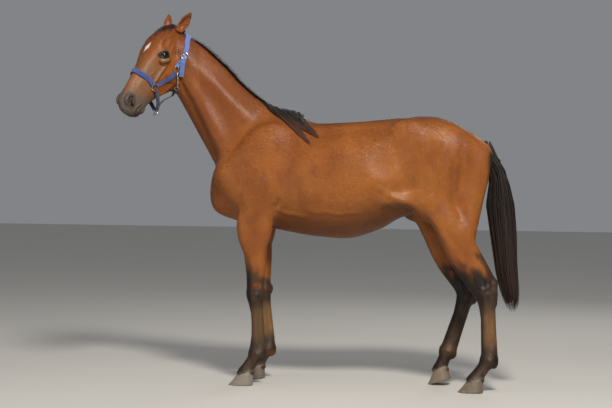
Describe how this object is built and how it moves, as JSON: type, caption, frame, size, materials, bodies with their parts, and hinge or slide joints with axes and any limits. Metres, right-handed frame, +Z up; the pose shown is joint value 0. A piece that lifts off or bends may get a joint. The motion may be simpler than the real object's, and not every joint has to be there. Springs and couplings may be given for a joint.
{
  "type": "young horse",
  "caption": "Young bay horse standing still on all four feet with its head turned to its left, wearing a webbing halter; a still model with no joints.",
  "frame": {"origin": "middle of the underside of the bounding box, on the floor between the hooves", "axes": "+Z up, -X the way the horse's body faces, -Y its left side"},
  "size_m": [2.0992, 0.6182, 1.9799],
  "materials": {
    "coat": "short glossy bay coat over skin, dark brown at knees, hocks and fetlocks, pale star on the forehead",
    "hoof_horn": "dusty grey horn with fine growth rings",
    "eye": "wet dark eye",
    "long_hair": "black mane, forelock and tail hair",
    "webbing": "blue woven webbing, darker navy below the jaw",
    "hardware": "worn plated halter hardware"
  },
  "bodies": {
    "root": {"trunk": "coat", "neck": "coat", "head": "coat", "ear_left": "coat", "ear_right": "coat", "tail_dock": "coat", "foreleg_left_upper": "coat", "foreleg_left_lower": "coat", "foreleg_right_upper": "coat", "foreleg_right_lower": "coat", "hindleg_left_upper": "coat", "hindleg_left_lower": "coat", "hindleg_right_upper": "coat", "hindleg_right_lower": "coat", "foreleg_left_hoof": "hoof_horn", "foreleg_right_hoof": "hoof_horn", "hindleg_left_hoof": "hoof_horn", "hindleg_right_hoof": "hoof_horn", "eye_left": "eye", "eye_right": "eye", "tail_hair": "long_hair", "mane": "long_hair", "withers_lock": "long_hair", "forelock": "long_hair", "halter_noseband": "webbing", "halter_cheek_left": "webbing", "halter_cheek_right": "webbing", "halter_crown": "webbing", "halter_crown_tail": "webbing", "halter_billet": "webbing", "halter_throat": "webbing", "halter_chin_left": "webbing", "halter_chin_right": "webbing", "halter_jaw": "webbing", "halter_ring_left": "hardware", "halter_ring_right": "hardware", "halter_throat_ring_left": "hardware", "halter_throat_ring_right": "hardware", "halter_buckle": "hardware", "halter_snap": "hardware", "halter_snap_loop": "hardware", "halter_chin_ring": "hardware"}
  },
  "joints": []
}
